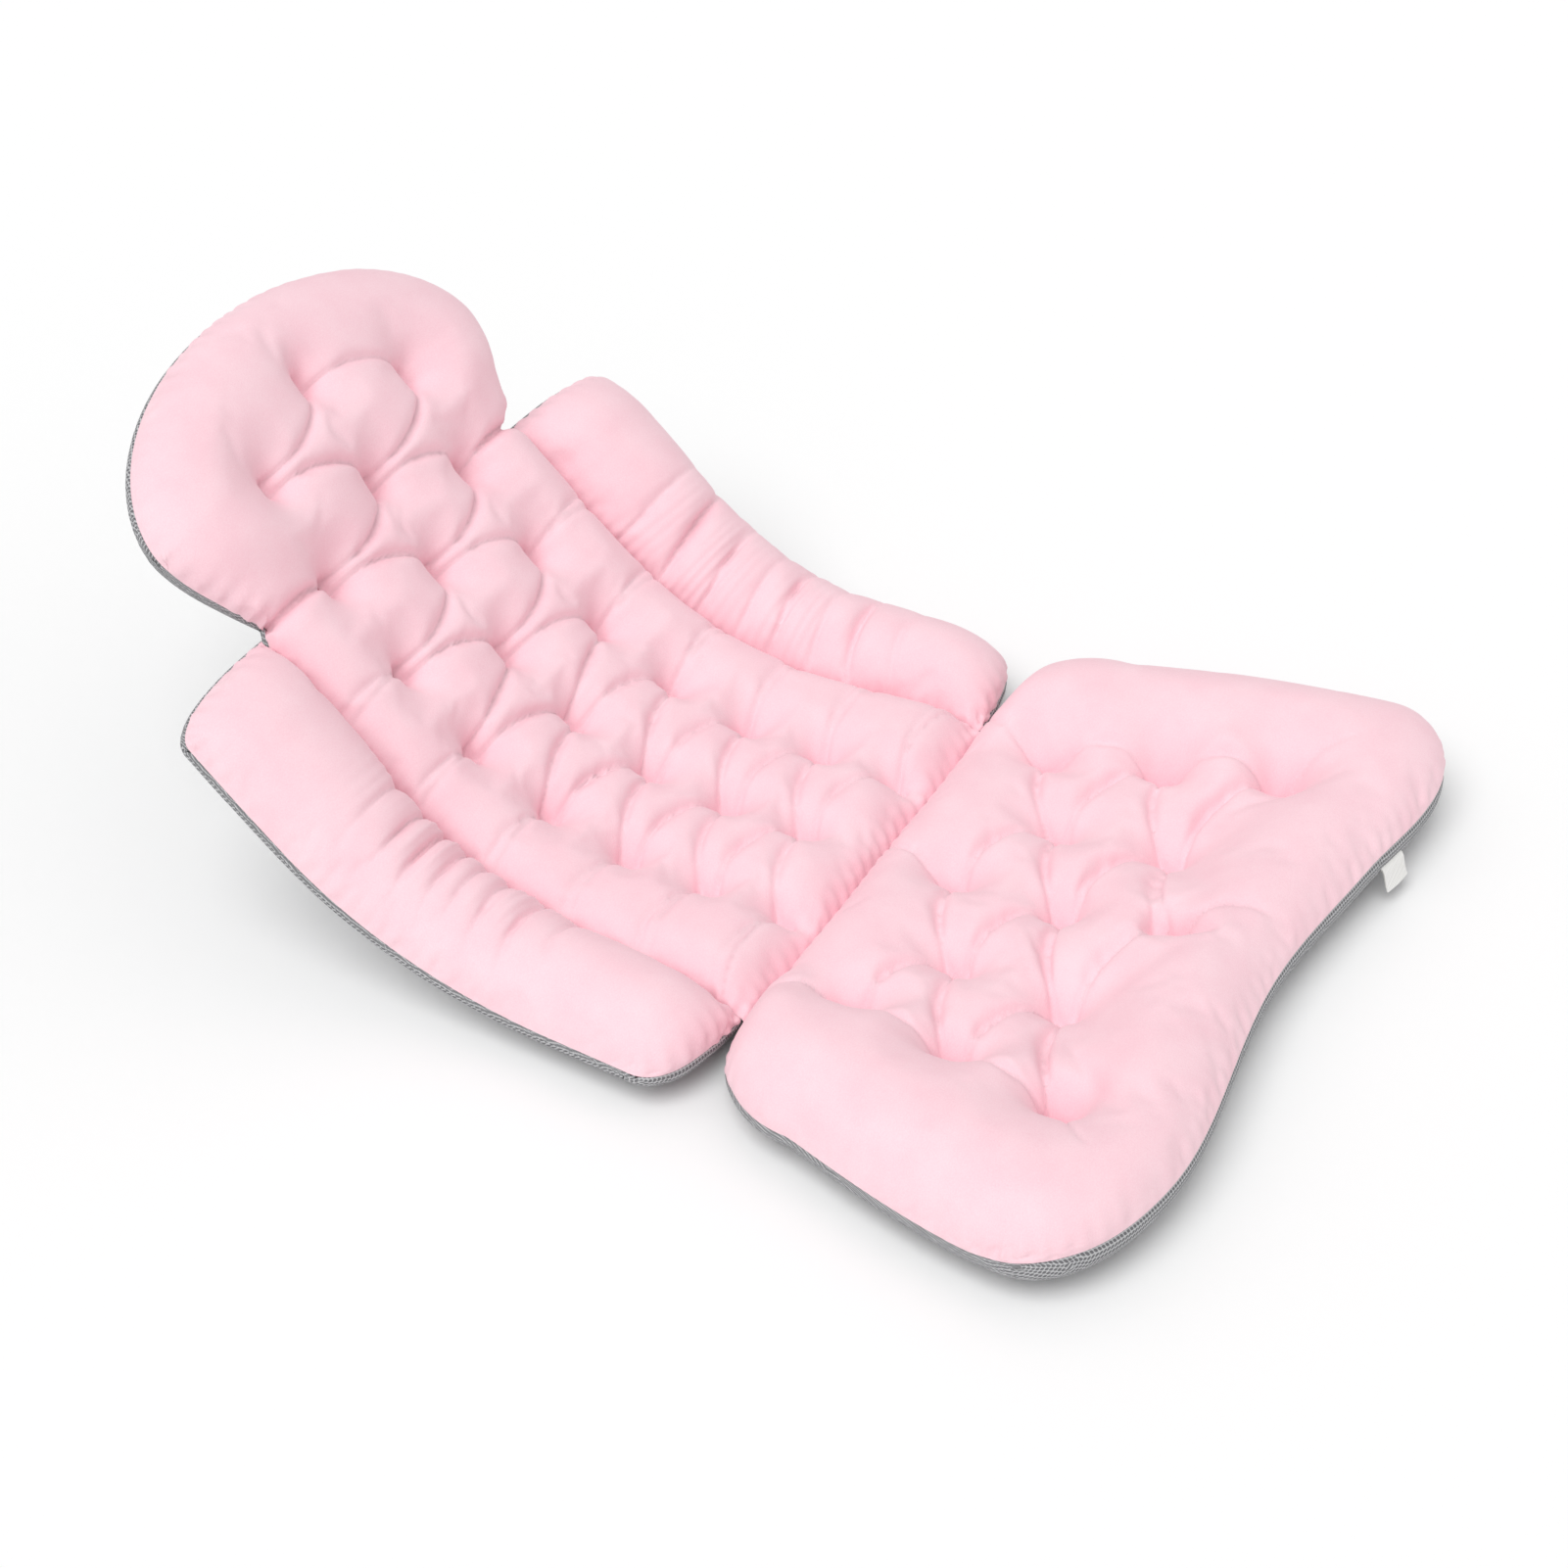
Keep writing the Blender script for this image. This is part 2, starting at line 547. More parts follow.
# Height of the seam between cover and mesh, which rises at the end of the seat.
def rim_seam(s):
    return RIM_SEAM + 11 * smooth(-s, 190, 255)


# Height of the seams round a section: rim, channel or fold.
def seam_height(section, plan):
    s = plan["s"]
    if section == "seat":
        return FOLD_SEAM + (rim_seam(s) - FOLD_SEAM) * smooth(-s, 2, 26)
    share = smooth(s, BACK_LENGTH - 6, BACK_LENGTH + 34) if section == "back" else smooth(plan["out"], 0, 0.6)
    return CHANNEL_SEAM + (RIM_SEAM - CHANNEL_SEAM) * share


# Cover of a section as points and faces: sewn, swollen, refined and gathered at its seams.
def cover_surface(section):
    if section == "seat":
        slits, lines, reach, tuft_reach = SEAT_SLITS, SEAT_CREASES, CREASE_REACH, SEAT_TUFT_REACH
    elif section == "back":
        slits, lines, reach, tuft_reach = BACK_SLITS, BACK_CREASES, CREASE_REACH, BACK_TUFT_REACH
    else:
        slits, lines, reach = [], bolster_creases(section), WRINKLE_REACH
    plan = layout(section, CELL, RIM_INSET)
    x, s = plan["x"].copy(), plan["s"].copy()
    d_rim = nearest_on(plan["rim"], x, s)[0]
    seam = seam_height(section, plan)
    if section == "seat":
        outside = np.maximum(np.abs(x) - SEAT_TUFT_X, SEAT_LAST_ROW - s)
        crown = SEAT_CROWN + SEAT_RIM_RISE * smooth(outside, -20, 42)
        plump = seam + (crown - seam) * rounded(d_rim, RIM_ROUND) * drawn(-s, FOLD_ROUND)
        spare = RIM_SPARE + (SPARE - RIM_SPARE) * (1 - smooth(outside, 0, 50)) * smooth(-s, 0, 40)
    elif section == "back":
        d_channel = nearest_on(plan["channel"], x, s)[0]
        on_head = smooth(s, BACK_LENGTH - 6, BACK_LENGTH + 34)
        ring = 1 - smooth(d_rim, 40, 80)
        crown = BACK_CROWN + smooth(s, BACK_LENGTH - 4, BACK_LENGTH + 56) * (HEAD_RISE + HEAD_RING_RISE * ring)
        edge = rounded(d_channel, CHANNEL_ROUND) * (1 - on_head) + rounded(d_rim, RIM_ROUND) * on_head
        plump = seam + (crown - seam) * edge * drawn(s, FOLD_ROUND)
        inside = np.where(s < BACK_LENGTH, smooth(plan["half"] - np.abs(x), 0, 30), smooth(d_rim, 20, 70))
        spare = RIM_SPARE + (SPARE - RIM_SPARE) * inside * smooth(s, 0, 40)
    else:
        crown = BOLSTER_CROWN + BOLSTER_RISE * smooth(plan["ends"], 0, 90)
        across = np.sqrt(4 * plan["out"] * (1 - plan["out"]))
        plump = seam + (crown - seam) * across * rounded(plan["ends"], BOLSTER_END_ROUND)
        spare = np.full(x.shape, BOLSTER_SPARE)
    n = drawn_down(x, s, plump, lines, shoulders, reach)
    if slits:
        n = np.minimum(n, drawn_down(x, s, plump, slits, funnel, tuft_reach))
    stitches = np.concatenate(lines + slits)
    close, which, _ = nearest_on(stitches[:, :2], x, s)
    held = (close < 0.5 * CELL) & (stitches[which, 3] > 0.99)
    pinned = held.copy()
    x = np.where(held, 0.3 * x + 0.7 * stitches[which, 0], x)
    s = np.where(held, 0.3 * s + 0.7 * stitches[which, 1], s)
    n = np.where(held, plump - stitches[which, 3] * (plump - stitches[which, 2]), n)
    for edge in ((0, slice(None)), (-1, slice(None)), (slice(None), 0), (slice(None), -1)):
        pinned[edge] = True
        x[edge], s[edge], n[edge] = plan["x"][edge], plan["s"][edge], seam[edge]
    if section == "back":
        n[0, :] = FOLD_SEAM
    faces = grid_faces(*x.shape)
    if section == "right":
        faces = faces[:, ::-1]
    flat = np.stack([x, s, n], axis=-1).reshape(-1, 3)
    x, s, n = (sewn_cloth(flat * MM, faces, np.flatnonzero(pinned), spare.ravel()) / MM).transpose()
    x, s, n = keep_apart(x.ravel(), s.ravel(), n.ravel(), section)
    points, normals, faces = refined(bend(x, s, n), faces)
    x, s, n = unbend(points)
    close, which, foot = nearest_on(stitches[:, :2], x, s)
    pull = 0.8 * (close < 0.5 * CELL / 2)
    points = bend(x + pull * (foot[:, 0] - x), s + pull * (foot[:, 1] - s), n)
    close = close * (1 - pull)
    rim_d, rim_at, _ = nearest_on(plan["rim"], x, s)
    lift = gathers(np.hypot(rim_d, n - rim_seam(s)), rim_at * 2.0, 0.9, 15, 13)
    if "channel" in plan:
        channel_d = nearest_on(plan["channel"], x, s)[0]
        lift = lift * (s > BACK_LENGTH) if section == "back" else lift
        lift = lift + gathers(np.hypot(channel_d, n - CHANNEL_SEAM), s, 0.9, 11, 9.5) * (s < BACK_LENGTH)
    if "folds" in plan:
        lift = lift + gathers(np.hypot(s, n - FOLD_SEAM), x, 1.3, 14, 12) * (np.abs(x) < SEAT_HALF_FOLD)
    notch = sum(depth * np.exp(-(close / width) ** 2) for depth, width in CREASE_NOTCH)
    lift = lift - np.sqrt(stitches[which, 3]) * notch
    if section in WRINKLES:
        slack = smooth(s, 60, 150) * (1 - smooth(s, 250, 330)) * (1 - smooth(np.abs(x), 175, 225))
        ripple = np.sin(s * 0.83 + 0.05 * x + 2.1 * np.sin(s / 19))
        lift = lift + 0.55 * slack * ripple * (0.6 + 0.4 * np.sin(s / 11))
    gathered = keep_apart(*unbend(points + normals * lift[:, None] * MM), section)
    return bend(*gathered), faces


def with_normals(points, faces):
    mesh = bpy.data.meshes.new("normals")
    mesh.from_pydata(points.tolist(), [], faces.tolist())
    normals = np.empty(len(points) * 3)
    mesh.vertex_normals.foreach_get("vector", normals)
    bpy.data.meshes.remove(mesh)
    return points, normals.reshape(-1, 3), faces


# Piece from the part of a surface between two lengths along the back, with one smooth normal across the cut, and
# with the place of each point on the flat mesh where that is given.
def add_section(name, surface, weave=None, low=-math.inf, high=math.inf):
    points, normals, faces = surface
    middle = unbend(points)[1][faces].mean(axis=1)
    chosen = faces[(middle >= low) & (middle < high)]
    used, numbers = np.unique(chosen, return_inverse=True)
    numbers = numbers.reshape(chosen.shape)
    piece = new_piece(name, points[used], numbers, normals[used])
    if weave is not None:
        layer = piece.data.uv_layers.new(name="weave")
        layer.data.foreach_set("uv", (weave[used][numbers.ravel()] / WEAVE_UNIT).ravel())
    return piece


SECTIONS = ("seat", "back", "right", "left")
covers = {section: with_normals(*cover_surface(section)) for section in SECTIONS}


# Height by which the mesh is drawn up at a distance from its stitches.
def raised(d, height, length):
    return height * np.exp(-(d / length) ** 2)


# Spacer mesh under a section: flat on the bath, turned up to the rim and drawn up under the stitches.
def base_surface(section):
    plan = layout(section, MESH_CELL, RIM_INSET + 0.6)
    x, s = plan["x"], plan["s"]
    d_rim, rim_at, _ = nearest_on(plan["rim"], x, s)
    top = seam_height(section, plan) + 0.3
    wall = top * (1 - rounded(d_rim, MESH_ROUND))
    lift = np.zeros(x.shape)
    if section == "back":
        wall = wall * smooth(s, BACK_LENGTH - 4, BACK_LENGTH + 4)
    if "channel" in plan:
        lift = np.maximum(lift, raised(nearest_on(plan["channel"], x, s)[0], *CHANNEL_LIFT))
    if "folds" in plan:
        lift = np.maximum(lift, raised(s, FOLD_AXIS, FOLD_LIFT_LENGTH))
    if section == "back":
        lift = np.maximum(lift, raised(s - BACK_LENGTH, *NECK_LIFT))
    for tx, ts, _ in {"seat": SEAT_TUFTS, "back": BACK_TUFTS}.get(section, []):
        lift = np.maximum(lift, raised(np.hypot(x - tx, s - ts), *TUFT_LIFT))
    for cup_x, cup_s, _ in CUP_PLACES.values():
        lift = lift * (1 - raised(np.hypot(np.abs(x) - cup_x, s - cup_s), 1, CUP_FLAT))
    n = np.maximum(lift, wall)
    sewn = top * smooth(np.abs(s - BACK_LENGTH / 2), BACK_LENGTH / 2 - 24, BACK_LENGTH / 2 - 10)
    whole = slice(None)
    if section == "back":
        for side in (0, -1):
            n[1:, side] = np.maximum(n, sewn)[1:, side]
        edges = [(-1, whole)]
    elif section == "seat":
        edges = [(0, whole), (whole, 0), (whole, -1)]
    else:
        n[:, 0] = np.maximum(n, sewn)[:, 0]
        edges = [(0, whole), (-1, whole), (whole, -1)]
    for edge in edges:
        n[edge] = top[edge]
    belly = MESH_BELLY * np.sin(np.pi * np.clip(wall / top, 0, 1)) / np.maximum(d_rim, 0.1)
    x, s = x - belly * (x - plan["rim"][rim_at, 0]), s - belly * (s - plan["rim"][rim_at, 1])
    points = bend(x, s, n)
    across = np.linalg.norm(np.diff(points, axis=1), axis=2)
    along = np.linalg.norm(np.diff(points, axis=0), axis=2)
    u = np.concatenate([np.zeros((len(x), 1)), np.cumsum(across, axis=1)], axis=1)
    v = np.concatenate([np.zeros((1, x.shape[1])), np.cumsum(along, axis=0)], axis=0)
    u = u - u[:, [x.shape[1] // 2]]
    faces = grid_faces(*x.shape)
    if section != "right":
        faces = faces[:, ::-1]
    surface = with_normals(points.reshape(-1, 3), faces)
    return surface, np.stack([u, v], axis=-1).reshape(-1, 2)


# Points and faces of a piece made of rings about its stud, each with its radii and its height.
def ringed_points(rings, sides):
    points, faces = [], []
    for radii, n in rings:
        for r, turn in zip(np.broadcast_to(radii, sides), np.linspace(0, 2 * np.pi, sides, endpoint=False)):
            points.append((r * math.cos(turn), r * math.sin(turn), n))
    for first in range(0, sides * (len(rings) - 1), sides):
        for i in range(sides):
            j = (i + 1) % sides
            faces.append((first + i, first + j, first + sides + j, first + sides + i))
    return np.array(points), faces


CUP_PROFILE = [
    (0.05, -8.4), (4, -8.5), (9, -9.0), (13.5, -9.9), (17, -10.9), (19.6, -11.75), (20.6, -12), (22.0, -12),
    (22.5, -11.7), (22.5, -11.1), (22.1, -10.7), (20.4, -10.2), (17.6, -9.1), (15.2, -7.7), (13.7, -6.6),
    (12.9, -6.3), (12.2, -6.1), (10.6, -5.0), (9.5, -3.6), (9.1, -2.6), (8.9, -2.0), (8.4, -1.8), (3.0, -1.8),
    (3.0, 0.6),
]


# Flat square patch with rounded corners and a hole for the cup's stud.
def patch_points(sides=64, power=7):
    angle = np.linspace(0, 2 * np.pi, sides, endpoint=False)
    square = PATCH_HALF / (np.abs(np.cos(angle)) ** power + np.abs(np.sin(angle)) ** power) ** (1 / power)
    rings = [(PATCH_HOLE, -0.4), (PATCH_HOLE, -1.4), (square * 0.45, -PATCH_THICK), (square * 0.8, -PATCH_THICK),
             (square - 0.5, -PATCH_THICK), (square - 0.1, -1.3), (square, -1.0), (square, -0.4)]
    return ringed_points(rings, sides)


# Row of thread stitches: each a small bar from one point to another, as thick as the thread.
def thread_points(bars, thick):
    points, faces = [], []
    sections = [(0.0, 0.35), (0.15, 0.85), (0.5, 1.0), (0.85, 0.85), (1.0, 0.35)]
    for start, end, up in bars:
        start, end, up = np.array(start), np.array(end), np.array(up)
        way = (end - start) / np.linalg.norm(end - start)
        side = np.cross(way, up)
        side = side / np.linalg.norm(side)
        top = np.cross(side, way)
        first = len(points)
        for share, wide in sections:
            for k in range(6):
                turn = 2 * np.pi * k / 6
                ring = side * math.cos(turn) + top * math.sin(turn)
                arch = top * thick * 0.5 * math.sin(np.pi * share)
                points.append(start + (end - start) * share + ring * wide * thick / 2 + arch)
        for row in range(len(sections) - 1):
            for k in range(6):
                a, b = first + row * 6 + k, first + row * 6 + (k + 1) % 6
                faces.append((a, b, b + 6, a + 6))
        faces.append(tuple(first + 5 - k for k in range(6)))
        faces.append(tuple(first + (len(sections) - 1) * 6 + k for k in range(6)))
    return np.array(points), faces


# Materials
# Colour written as sRGB hex, in linear values.
def linear(hex_colour):
    value = [int(hex_colour[k:k + 2], 16) / 255 for k in (1, 3, 5)]
    return tuple(v / 12.92 if v <= 0.04045 else ((v + 0.055) / 1.055) ** 2.4 for v in value) + (1.0,)


# Node with its settings, and its inputs as values or as links.
def add_node(tree, kind, inputs=None, **settings):
    node = tree.nodes.new(kind)
    for name, value in settings.items():
        setattr(node, name, value)
    for name, value in (inputs or {}).items():
        if isinstance(value, bpy.types.NodeSocket):
            tree.links.new(value, node.inputs[name])
        else:
            node.inputs[name].default_value = value
    return node


def new_tree(name):
    material = bpy.data.materials.new(name)
    material.use_nodes = True
    material.node_tree.nodes.clear()
    return material, material.node_tree


# Soft matte nap, a little lighter where it was brushed up, with a faint sheen at grazing angles. Its fibres are
# too fine to show, so the nap is drawn as coarse as tufts of 0.9 mm, over brushed patches of 29 mm.
def microfibre(nap_size=0.91, patch_size=29.4):
    material, tree = new_tree("brushed_pink_microfibre")
    place = add_node(tree, "ShaderNodeTexCoord").outputs["Object"]
    brushed = add_node(tree, "ShaderNodeTexNoise", {"Vector": place, "Scale": 1000 / patch_size, "Detail": 4.0})
    nap = add_node(tree, "ShaderNodeTexNoise", {"Vector": place, "Scale": 1000 / nap_size, "Detail": 3.0})
    both = add_node(tree, "ShaderNodeMath", {0: brushed.outputs["Fac"], 1: nap.outputs["Fac"]}, operation="ADD")
    share = add_node(tree, "ShaderNodeMapRange", {"Value": both.outputs[0], "From Min": 0.7, "From Max": 1.3})
    colour = add_node(tree, "ShaderNodeMix", {0: share.outputs[0], 6: linear("#FBCFD9"), 7: linear("#FFDBE3")},
                      data_type="RGBA")
    rough = add_node(tree, "ShaderNodeMapRange", {"Value": brushed.outputs["Fac"], "To Min": 0.82, "To Max": 0.96})
    bump = add_node(tree, "ShaderNodeBump", {"Height": both.outputs[0], "Strength": 0.25, "Distance": 0.6 * MM})
    shader = add_node(tree, "ShaderNodeBsdfPrincipled", {
        "Base Color": colour.outputs[2], "Roughness": rough.outputs[0], "Normal": bump.outputs[0],
        "Sheen Weight": 0.25, "Sheen Roughness": 0.5, "Sheen Tint": linear("#FFEFF2")})
    add_node(tree, "ShaderNodeOutputMaterial", {"Surface": shader.outputs[0]})
    return material


# Grey knitted net with holes in straight rows, whose ridges catch the light over the dark holes. The holes are
# 2.6 mm apart across and 3.5 mm along, finer than the 4 to 5 mm read from the photo. The fuzz of the yarn is too
# fine to show and is drawn at 0.8 mm.
def spacer_mesh(hole_across=2.6, hole_along=3.5, fuzz_size=0.77):
    material, tree = new_tree("grey_air_mesh")
    weave = add_node(tree, "ShaderNodeUVMap", uv_map="weave").outputs["UV"]
    parts = add_node(tree, "ShaderNodeSeparateXYZ", {0: weave})
    unit = WEAVE_UNIT / MM
    waves = []
    for axis, pitch in (("X", hole_across), ("Y", hole_along)):
        turn = add_node(tree, "ShaderNodeMath", {0: parts.outputs[axis], 1: math.pi * unit / pitch},
                        operation="MULTIPLY")
        waves.append(add_node(tree, "ShaderNodeMath", {0: turn.outputs[0]}, operation="COSINE").outputs[0])
    cells = add_node(tree, "ShaderNodeMath", {0: waves[0], 1: waves[1]}, operation="MULTIPLY")
    depth = add_node(tree, "ShaderNodeMath", {0: cells.outputs[0]}, operation="ABSOLUTE")
    hole = add_node(tree, "ShaderNodeMapRange", {"Value": depth.outputs[0], "From Min": 0.22, "From Max": 0.6})
    fuzz = add_node(tree, "ShaderNodeTexNoise", {"Vector": weave, "Scale": unit / fuzz_size, "Detail": 2.0})
    spread = add_node(tree, "ShaderNodeMath", {0: fuzz.outputs["Fac"], 1: 0.25}, operation="MULTIPLY")
    shade = add_node(tree, "ShaderNodeMath", {0: hole.outputs[0], 1: spread.outputs[0]}, operation="ADD",
                     use_clamp=True)
    colour = add_node(tree, "ShaderNodeMix", {0: shade.outputs[0], 6: linear("#CFCFD1"), 7: linear("#707073")},
                      data_type="RGBA")
    ridge = add_node(tree, "ShaderNodeMath", {0: 1.0, 1: hole.outputs[0]}, operation="SUBTRACT")
    bump = add_node(tree, "ShaderNodeBump", {"Height": ridge.outputs[0], "Strength": 0.7, "Distance": 1.2 * MM})
    shader = add_node(tree, "ShaderNodeBsdfPrincipled", {
        "Base Color": colour.outputs[2], "Roughness": 0.75, "Normal": bump.outputs[0]})
    add_node(tree, "ShaderNodeOutputMaterial", {"Surface": shader.outputs[0]})
    return material


# Clear soft vinyl, slightly frosted by its mould. The frost is too fine to show and is drawn in patches of 3.8 mm.
def clear_vinyl(frost_size=3.85):
    material, tree = new_tree("clear_moulded_vinyl")
    place = add_node(tree, "ShaderNodeTexCoord").outputs["Object"]
    frost = add_node(tree, "ShaderNodeTexNoise", {"Vector": place, "Scale": 1000 / frost_size, "Detail": 3.0})
    rough = add_node(tree, "ShaderNodeMapRange", {"Value": frost.outputs["Fac"], "To Min": 0.1, "To Max": 0.28})
    bump = add_node(tree, "ShaderNodeBump", {"Height": frost.outputs["Fac"], "Strength": 0.06, "Distance": 0.3 * MM})
    shader = add_node(tree, "ShaderNodeBsdfPrincipled", {
        "Base Color": linear("#E6EEF0"), "Roughness": rough.outputs[0], "Normal": bump.outputs[0],
        "Transmission Weight": 0.8, "IOR": 1.53})
    add_node(tree, "ShaderNodeOutputMaterial", {"Surface": shader.outputs[0]})
    return material


# Woven cloth of two tones: threads that cross at the given pitch in millimetres and catch the light where they lie
# on top, which repeats with every second thread. Those of the ribbon are too fine to show and are drawn coarser.
def woven(name, dark, light, pitch, roughness):
    material, tree = new_tree(name)
    place = add_node(tree, "ShaderNodeTexCoord").outputs["Object"]
    bands = []
    for direction in ("X", "Y"):
        band = add_node(tree, "ShaderNodeTexWave", {
            "Vector": place, "Scale": 2 * math.pi / 20 / (2 * pitch * MM), "Distortion": 0.6, "Detail": 1.0},
            bands_direction=direction)
        bands.append(band.outputs["Fac"])
    cross = add_node(tree, "ShaderNodeMath", {0: bands[0], 1: bands[1]}, operation="MULTIPLY").outputs[0]
    colour = add_node(tree, "ShaderNodeMix", {0: cross, 6: linear(dark), 7: linear(light)}, data_type="RGBA")
    bump = add_node(tree, "ShaderNodeBump", {"Height": cross, "Strength": 0.5, "Distance": 0.3 * MM})
    shader = add_node(tree, "ShaderNodeBsdfPrincipled", {
        "Base Color": colour.outputs[2], "Roughness": roughness, "Normal": bump.outputs[0]})
    add_node(tree, "ShaderNodeOutputMaterial", {"Surface": shader.outputs[0]})
    return material


MATERIALS = {
    "cover_fabric": microfibre(),
    "spacer_mesh": spacer_mesh(),
    "suction_cup": clear_vinyl(),
    "webbing": woven("grey_webbing", "#6E6E70", "#A2A2A4", 1.6, 0.7),
    "tab_fabric": woven("white_satin_ribbon", "#EDECE9", "#FBFAF8", 0.7, 0.45),
}
THREAD = woven("pink_polyester_thread", "#C97F90", "#E3A3B2", 0.5, 0.55)


def dress(piece, slot, material=None):
    piece.data.materials.append(material or MATERIALS[slot])
    return piece


# Bodies that the back's cloth bends between, and the points where each bend begins and ends
def along_back(s):
    return tuple(float(v) for v in bend(0.0, s, TUFT_HEIGHT))


FLEX = ("lower_back", "upper_back", along_back(BEND_LINE - 74), along_back(BEND_LINE + 74))
NECK = ("upper_back", "head", along_back(BACK_LENGTH - 26), along_back(BACK_LENGTH + 26))
LAYERS = ("cover", "filling")

# Covers over their filling
seat_cover = add_section("seat_cover_cloth", covers["seat"])
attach(seat_cover, "seat")
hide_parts(*["seat_" + layer for layer in LAYERS])
back_low = add_section("back_cover_cloth_lower", covers["back"], high=PART_LINE)
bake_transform(back_low)
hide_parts(*["lower_back_" + layer for layer in LAYERS])
back_high = add_section("back_and_head_cover_cloth", covers["back"], low=PART_LINE)
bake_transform(back_high)
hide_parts(*[part + layer for part in ("upper_back_", "head_") for layer in LAYERS])
padded = [seat_cover, back_low, back_high]
for hand in ("right", "left"):
    bolster = add_section(hand + "_bolster_cover_cloth", covers[hand])
    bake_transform(bolster)
    halves = [hand + "_bolster_" + half for half in ("lower_", "upper_")]
    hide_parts(*[half + layer for half in halves for layer in LAYERS])
    padded.append(bolster)
for piece in padded:
    dress(piece, "cover_fabric")

# Spacer mesh under them
seat_base = add_section("seat_air_mesh", *base_surface("seat"))
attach(seat_base, "seat")
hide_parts("seat_mesh_base")
under_back = base_surface("back")
base_low = add_section("back_air_mesh_lower", *under_back, high=PART_LINE)
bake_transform(base_low)
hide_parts("lower_back_mesh_base")
base_high = add_section("back_and_head_air_mesh", *under_back, low=PART_LINE)
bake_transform(base_high)
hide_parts("upper_back_mesh_base", "head_mesh_base")
bases = [seat_base, base_low, base_high]
for hand in ("right", "left"):
    base = add_section(hand + "_bolster_air_mesh", *base_surface(hand))
    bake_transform(base)
    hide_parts("%s_bolster_lower_mesh_base" % hand, "%s_bolster_upper_mesh_base" % hand)
    bases.append(base)
for base in bases:
    dress(base, "spacer_mesh")

# Suction cups on their webbing patches
cup_points, cup_faces = ringed_points(CUP_PROFILE, 48)
patch_shape, patch_faces = patch_points()
edge_stitches = []
for quarter in range(4):
    cosine, sine = math.cos(quarter * np.pi / 2), math.sin(quarter * np.pi / 2)
    turn = np.array([[cosine, -sine], [sine, cosine]])
    for k in np.linspace(-12.4, 9.2, 7):
        ends = [(*(turn @ np.array([at, PATCH_STITCH_LINE])), -PATCH_THICK - 0.05) for at in (k, k + 2.8)]
        edge_stitches.append((ends[0], ends[1], (0, 0, -1)))
edge_points, edge_faces = thread_points(edge_stitches, 0.55)
for pattern, (cup_x, cup_s, body) in CUP_PLACES.items():
    for hand, side in (("right", -1), ("left", 1)):
        node = pattern % hand
        foot = Matrix.Translation([float(v) for v in bend(side * cup_x, cup_s, 0.0)])
        place = foot @ Matrix.Rotation(slope_at(cup_s), 4, "X")
        cup = new_piece(node + "_vinyl", cup_points * MM, cup_faces)
        patch = new_piece(node + "_webbing", patch_shape * MM, patch_faces)
        sewing = new_piece(node + "_stitches", edge_points * MM, edge_faces)
        for piece in (cup, patch, sewing):
            piece.matrix_world = place
            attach(piece, body)
        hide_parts(node)
        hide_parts(node.replace("_cup_", "_cup_patch_"))
        dress(cup, "suction_cup")
        dress(patch, "webbing")
        dress(sewing, "webbing", THREAD)


# Stitches of the tufts
def tack_bars(tufts, cover):
    bars = []
    x, s, n = unbend(cover[0])
    for tx, ts, _ in tufts:
        tn = n[np.argmin(np.hypot(x - tx, s - ts))]
        up = bend(tx, ts, tn + 10.0) - bend(tx, ts, tn + 0.0)
        for k in range(-2, 3):
            a = bend(tx - 1.1, ts + 2.0 * k - 0.5, tn + 0.5)
            b = bend(tx + 1.1, ts + 2.0 * k + 0.5, tn + 0.5)
            bars.append((a, b, up / np.linalg.norm(up)))
        bars.append((bend(tx, ts - 5.0, tn + 0.2), bend(tx, ts + 5.0, tn + 0.2), up / np.linalg.norm(up)))
    return thread_points(bars, 1.1 * MM)


low_tufts = [tuft for tuft in BACK_TUFTS if tuft[1] < PART_LINE]
high_tufts = [tuft for tuft in BACK_TUFTS if tuft[1] >= PART_LINE]
seat_tacks = new_piece("seat_tuft_stitches", *tack_bars(SEAT_TUFTS, covers["seat"]))
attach(seat_tacks, "seat")
low_tacks = new_piece("back_tuft_stitches_lower", *tack_bars(low_tufts, covers["back"]))
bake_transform(low_tacks)
high_tacks = new_piece("back_and_head_tuft_stitches", *tack_bars(high_tufts, covers["back"]))
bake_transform(high_tacks)
for piece in (seat_tacks, low_tacks, high_tacks):
    dress(piece, "cover_fabric", THREAD)


# Blank ribbon tab, folded once and caught in the end seam of the seat
def add_tab():
    edge = [float(seat_end(np.array((TAB_X + k * TAB_WIDTH / 2) / SEAT_HALF_END / 2 + 0.5))) for k in (-1, 1)]
    turn = math.atan2(edge[1] - edge[0], TAB_WIDTH)
    path = [(-2.2, 14.6), (0.2, 13.6), (1.6, 11.0), (2.6, 7.0), (3.8, 3.0), (5.2, -0.4), (5.6, -1.0), (5.4, -1.3),
            (4.9, -0.8), (3.3, 2.8), (2.0, 7.0), (0.9, 10.8), (-0.4, 12.9), (-2.4, 13.9)]
    steps = np.linspace(0, len(path) - 1, 40)
    fine = list(zip(*(np.interp(steps, range(len(path)), [point[k] for point in path]) for k in (0, 1))))
    points, columns = [], 13
    for out, n in fine:
        for i in range(columns):
            across = (i / (columns - 1) - 0.5) * TAB_WIDTH
            bow = 0.7 * math.cos(np.pi * across / TAB_WIDTH) * max(0.0, 1 - n / 14)
            x = TAB_X + across * math.cos(turn) + (out + bow) * math.sin(turn)
            s = (edge[0] + edge[1]) / 2 + across * math.sin(turn) - (out + bow) * math.cos(turn)
            points.append(bend(x, s, n))
    tab = new_piece("seat_side_tab_ribbon", np.array(points), grid_faces(len(fine), columns))
    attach(tab, "seat")
    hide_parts("seat_side_tab")
    dress(tab, "tab_fabric")


add_tab()


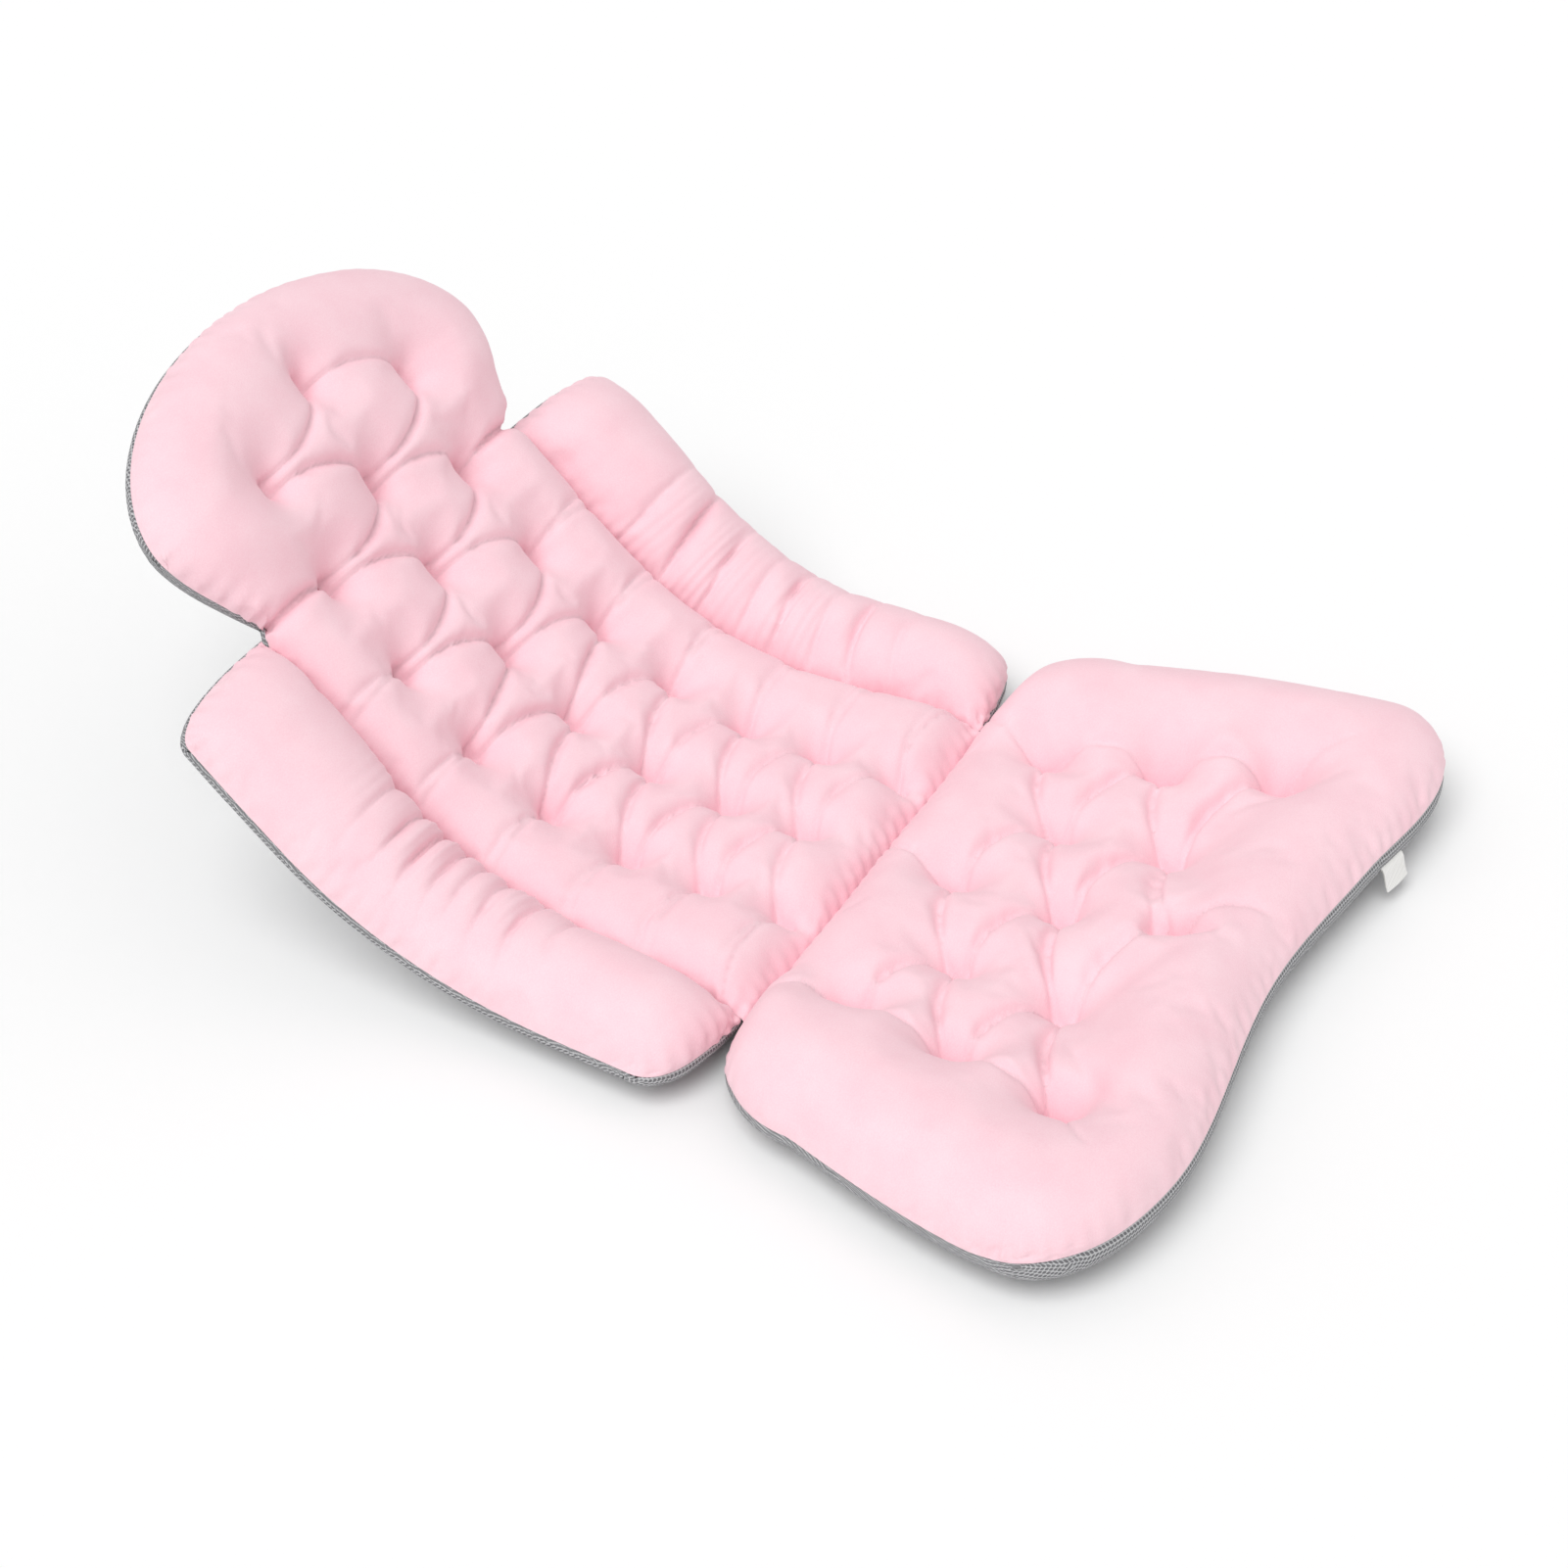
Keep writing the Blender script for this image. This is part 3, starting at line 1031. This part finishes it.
# Floor, light and camera
def add_floor():
    floor = new_piece("floor", [(-9, -9, 0), (9, -9, 0), (9, 9, 0), (-9, 9, 0)], [(0, 1, 2, 3)])
    floor.location.z = -0.0005
    material, tree = new_tree("white_paper_floor")
    shader = add_node(tree, "ShaderNodeBsdfPrincipled", {
        "Base Color": linear("#FDFDFD"), "Roughness": 1.0, "Specular IOR Level": 0.0})
    add_node(tree, "ShaderNodeOutputMaterial", {"Surface": shader.outputs[0]})
    floor.data.materials.append(material)


# Direction from the pillow towards a lamp or camera.
def facing(azimuth, elevation):
    level = math.cos(elevation)
    return Vector((math.sin(azimuth) * level, -math.cos(azimuth) * level, math.sin(elevation)))


def add_sun(name, azimuth, elevation, softness, strength):
    lamp = bpy.data.lights.new(name, "SUN")
    lamp.angle = math.radians(softness)
    lamp.energy = strength
    light = bpy.data.objects.new(name, lamp)
    bpy.context.scene.collection.objects.link(light)
    back = facing(math.radians(azimuth), math.radians(elevation))
    light.rotation_euler = back.to_track_quat("Z", "Y").to_euler()


def add_camera():
    azimuth, elevation, roll = (math.radians(v) for v in (CAMERA_AZIMUTH, CAMERA_ELEVATION, CAMERA_ROLL))
    back = facing(azimuth, elevation)
    level = Vector((math.cos(azimuth), math.sin(azimuth), 0))
    upright = back.cross(level)
    right = level * math.cos(roll) + upright * math.sin(roll)
    up = upright * math.cos(roll) - level * math.sin(roll)
    lens = bpy.data.cameras.new("photo_camera")
    lens.lens = CAMERA_LENS
    lens.sensor_width = 36
    camera = bpy.data.objects.new("photo_camera", lens)
    bpy.context.scene.collection.objects.link(camera)
    camera.matrix_world = Matrix.Translation(CAMERA_EYE) @ Matrix((right, up, back)).transposed().to_4x4()
    bpy.context.scene.camera = camera


add_floor()
add_sun("key_softbox", -90, 60, 45, 1.6)
add_camera()
world = bpy.data.worlds.new("studio")
bpy.context.scene.world = world
world.use_nodes = True
world.node_tree.nodes["Background"].inputs["Color"].default_value = (1, 1, 1, 1)
world.node_tree.nodes["Background"].inputs["Strength"].default_value = 0.58
bpy.context.scene.view_settings.view_transform = "Standard"
